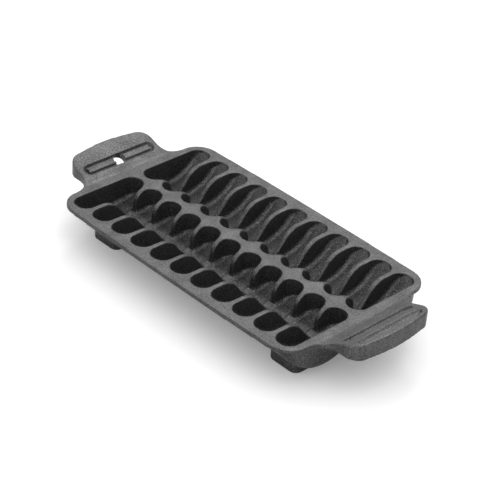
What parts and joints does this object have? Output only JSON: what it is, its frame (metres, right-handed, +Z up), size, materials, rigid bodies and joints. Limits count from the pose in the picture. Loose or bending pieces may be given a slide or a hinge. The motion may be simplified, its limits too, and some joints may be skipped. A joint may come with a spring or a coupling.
{
  "type": "shrimp grill pan",
  "caption": "Cast iron grill pan for shrimp: two rows of scooped wells split by notched ridges, a raised handle at each end and feet underneath.",
  "frame": {"origin": "centre of the footprint, on the plane the four feet stand on", "axes": "+X along the pan towards the handle with two grooves, +Y across the two rows of wells, +Z up out of the wells"},
  "size_m": [0.3144, 0.146, 0.0448],
  "materials": {
    "cast_iron": "dull sand-cast iron, fine grain, lightly oiled"
  },
  "bodies": {
    "root": {"centre_bar": "cast_iron", "deck_rim": "cast_iron", "far_inner_fin_01": "cast_iron", "far_inner_fin_02": "cast_iron", "far_inner_fin_03": "cast_iron", "far_inner_fin_04": "cast_iron", "far_inner_fin_05": "cast_iron", "far_inner_fin_06": "cast_iron", "far_inner_fin_07": "cast_iron", "far_inner_fin_08": "cast_iron", "far_inner_fin_09": "cast_iron", "far_inner_fin_10": "cast_iron", "far_left_end_wall": "cast_iron", "far_left_foot": "cast_iron", "far_outer_fin_01": "cast_iron", "far_outer_fin_02": "cast_iron", "far_outer_fin_03": "cast_iron", "far_outer_fin_04": "cast_iron", "far_outer_fin_05": "cast_iron", "far_outer_fin_06": "cast_iron", "far_outer_fin_07": "cast_iron", "far_outer_fin_08": "cast_iron", "far_outer_fin_09": "cast_iron", "far_outer_fin_10": "cast_iron", "far_right_end_wall": "cast_iron", "far_right_foot": "cast_iron", "far_row_shell": "cast_iron", "grooved_handle": "cast_iron", "hanging_handle": "cast_iron", "near_inner_fin_01": "cast_iron", "near_inner_fin_02": "cast_iron", "near_inner_fin_03": "cast_iron", "near_inner_fin_04": "cast_iron", "near_inner_fin_05": "cast_iron", "near_inner_fin_06": "cast_iron", "near_inner_fin_07": "cast_iron", "near_inner_fin_08": "cast_iron", "near_inner_fin_09": "cast_iron", "near_inner_fin_10": "cast_iron", "near_left_end_wall": "cast_iron", "near_left_foot": "cast_iron", "near_outer_fin_01": "cast_iron", "near_outer_fin_02": "cast_iron", "near_outer_fin_03": "cast_iron", "near_outer_fin_04": "cast_iron", "near_outer_fin_05": "cast_iron", "near_outer_fin_06": "cast_iron", "near_outer_fin_07": "cast_iron", "near_outer_fin_08": "cast_iron", "near_outer_fin_09": "cast_iron", "near_outer_fin_10": "cast_iron", "near_right_end_wall": "cast_iron", "near_right_foot": "cast_iron", "near_row_shell": "cast_iron"}
  },
  "joints": []
}
